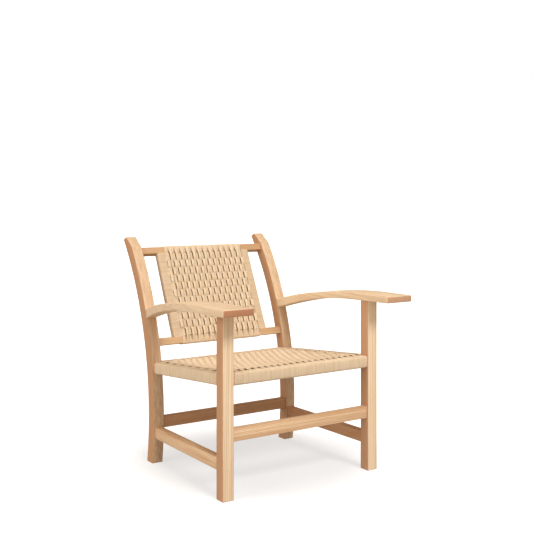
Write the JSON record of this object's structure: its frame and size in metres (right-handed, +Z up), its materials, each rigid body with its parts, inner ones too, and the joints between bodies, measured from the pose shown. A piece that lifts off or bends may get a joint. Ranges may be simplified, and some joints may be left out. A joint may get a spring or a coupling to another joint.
{
  "type": "woven cord armchair",
  "caption": "Low wooden armchair with bowed rear posts, wide flared paddle arms, and a seat and reclined back of woven cord on wrapped rails.",
  "frame": {"origin": "on the floor, in the middle of the chair's overall width and depth", "axes": "+X towards the sitter's left, +Y towards the back of the chair, +Z up"},
  "size_m": [0.7084, 0.7908, 0.748],
  "materials": {
    "oak": "satin clear-finished pale oak",
    "cord": "twisted natural paper cord",
    "steel": "plain steel tacks"
  },
  "bodies": {
    "root": {"arm_dowels": "oak", "arm_left": "oak", "arm_right": "oak", "back_bottom_rail": "oak", "back_bottom_wrap": "cord", "back_cord_tacks": "steel", "back_stile_left": "oak", "back_stile_right": "oak", "back_stile_wrap_left": "cord", "back_stile_wrap_right": "cord", "back_top_rail": "oak", "back_top_wrap": "cord", "back_woven_panel": "cord", "front_leg_left": "oak", "front_leg_right": "oak", "front_stretcher": "oak", "rear_post_left": "oak", "rear_post_right": "oak", "rear_stretcher": "oak", "seat_cord_tacks": "steel", "seat_front_rail": "oak", "seat_front_wrap": "cord", "seat_rear_rail": "oak", "seat_rear_wrap": "cord", "seat_side_rail_left": "oak", "seat_side_rail_right": "oak", "seat_side_wrap_left": "cord", "seat_side_wrap_right": "cord", "seat_woven_panel": "cord", "side_stretcher_left": "oak", "side_stretcher_right": "oak"}
  },
  "joints": []
}
